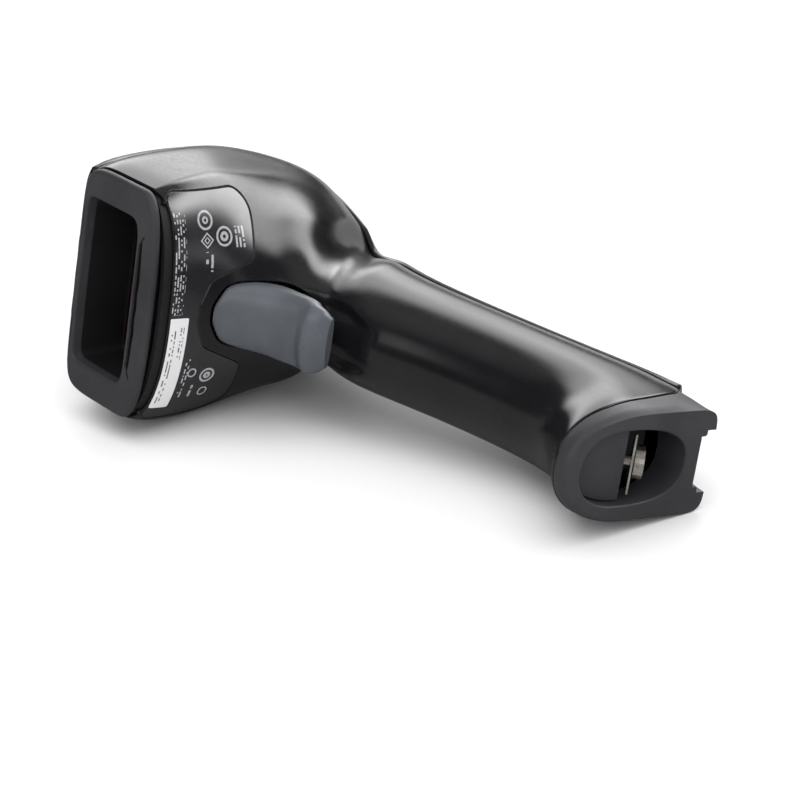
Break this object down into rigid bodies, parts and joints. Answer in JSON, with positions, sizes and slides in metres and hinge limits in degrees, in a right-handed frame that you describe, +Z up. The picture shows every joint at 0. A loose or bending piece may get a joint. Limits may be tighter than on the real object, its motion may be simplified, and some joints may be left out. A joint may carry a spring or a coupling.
{
  "type": "handheld barcode scanner",
  "caption": "Pistol-grip handheld barcode scanner lying on its side, with a wide scan mouth, pull trigger and removable battery in the grip.",
  "frame": {"origin": "bottom centre of the bounding box, with the scanner lying on its right side on the table plane z = 0", "axes": "+X runs from the head down the handle to the foot, -Y is the scan direction out of the mouth, +Z is up from the table and is the scanner's left side, tilted by the rest pose"},
  "size_m": [0.1796, 0.0974, 0.0728],
  "materials": {
    "housing_black": "satin to gloss moulded",
    "bumper_grey": "fine matt texture",
    "trigger_grey": "semi-gloss moulded",
    "window_red": "polished, dark red filter",
    "rubber_black": "matt",
    "inner_plastic": "matt",
    "label_black": "printed film",
    "sticker_white": "printed film",
    "steel": "bright plated",
    "brass": "turned",
    "aluminium": "die cast",
    "copper": "enamelled winding",
    "mirror": "front-surface mirror",
    "board_green": "solder mask",
    "chip_black": "moulded epoxy",
    "cell_wrap": "shrink film",
    "clear_plastic": "clear moulded",
    "flex_amber": "polyimide film"
  },
  "bodies": {
    "housing": {"front_housing": "housing_black", "back_housing": "housing_black", "rating_label": "label_black", "serial_sticker": "sticker_white", "nose_bumper": "bumper_grey", "window_gasket": "rubber_black", "scan_window": "window_red", "trigger_pin": "steel", "trigger_bracket": "inner_plastic", "trigger_spring": "steel", "trigger_switch": "chip_black", "switch_board": "board_green", "charger_chip": "chip_black", "engine_chassis": "aluminium", "laser_module": "brass", "collimator_lens": "clear_plastic", "fold_mirror": "mirror", "mirror_coil": "copper", "collecting_mirror": "mirror", "detector_board": "board_green", "photo_detector": "chip_black", "main_board": "board_green", "board_screw_1": "steel", "board_screw_2": "steel", "board_screw_3": "steel", "board_screw_4": "steel", "decoder_chip": "chip_black", "radio_module": "aluminium", "beeper": "chip_black", "status_led": "clear_plastic", "status_light_pipe": "clear_plastic", "flex_cable": "flex_amber", "top_contact": "brass", "foot_collar": "bumper_grey"},
    "trigger": {"trigger": "trigger_grey"},
    "switch_plunger": {"switch_plunger": "inner_plastic"},
    "scan_mirror": {"scan_mirror": "mirror"},
    "battery_pack": {"battery_cell": "cell_wrap", "cell_terminal": "steel", "battery_cap": "bumper_grey", "screw_plate": "steel"},
    "cap_screw": {"cap_screw": "steel"}
  },
  "joints": [
    {"name": "trigger_pull", "type": "hinge", "parent": "housing", "child": "trigger", "pos_m": [-0.04449, -0.01692, 0.03427], "axis": [0.0791, 0.1731, 0.9817], "range_deg": [0, 6], "stiffness_Nm_per_rad": 0.2, "springref_deg": -1.15},
    {"name": "switch_press", "type": "slide", "parent": "housing", "child": "switch_plunger", "axis": [0, 0.9848, -0.1736], "range_m": [0, 0.0016]},
    {"name": "mirror_swing", "type": "hinge", "parent": "housing", "child": "scan_mirror", "pos_m": [-0.06243, -0.01125, 0.03472], "axis": [-0.9969, 0.0137, 0.0779], "range_deg": [-12, 12], "stiffness_Nm_per_rad": 0.0002},
    {"name": "battery_out", "type": "slide", "parent": "housing", "child": "battery_pack", "axis": [0.9947, -0.079, -0.0662], "range_m": [0, 0.095]},
    {"name": "cap_screw_turn", "type": "hinge", "parent": "battery_pack", "child": "cap_screw", "pos_m": [0.08371, 0.0214, 0.01719], "axis": [0.6474, 0.7399, -0.1826], "continuous": true}
  ],
  "couplings": [
    {"joint": "switch_press", "follows": "trigger_pull", "m_per_rad": 0.015}
  ]
}
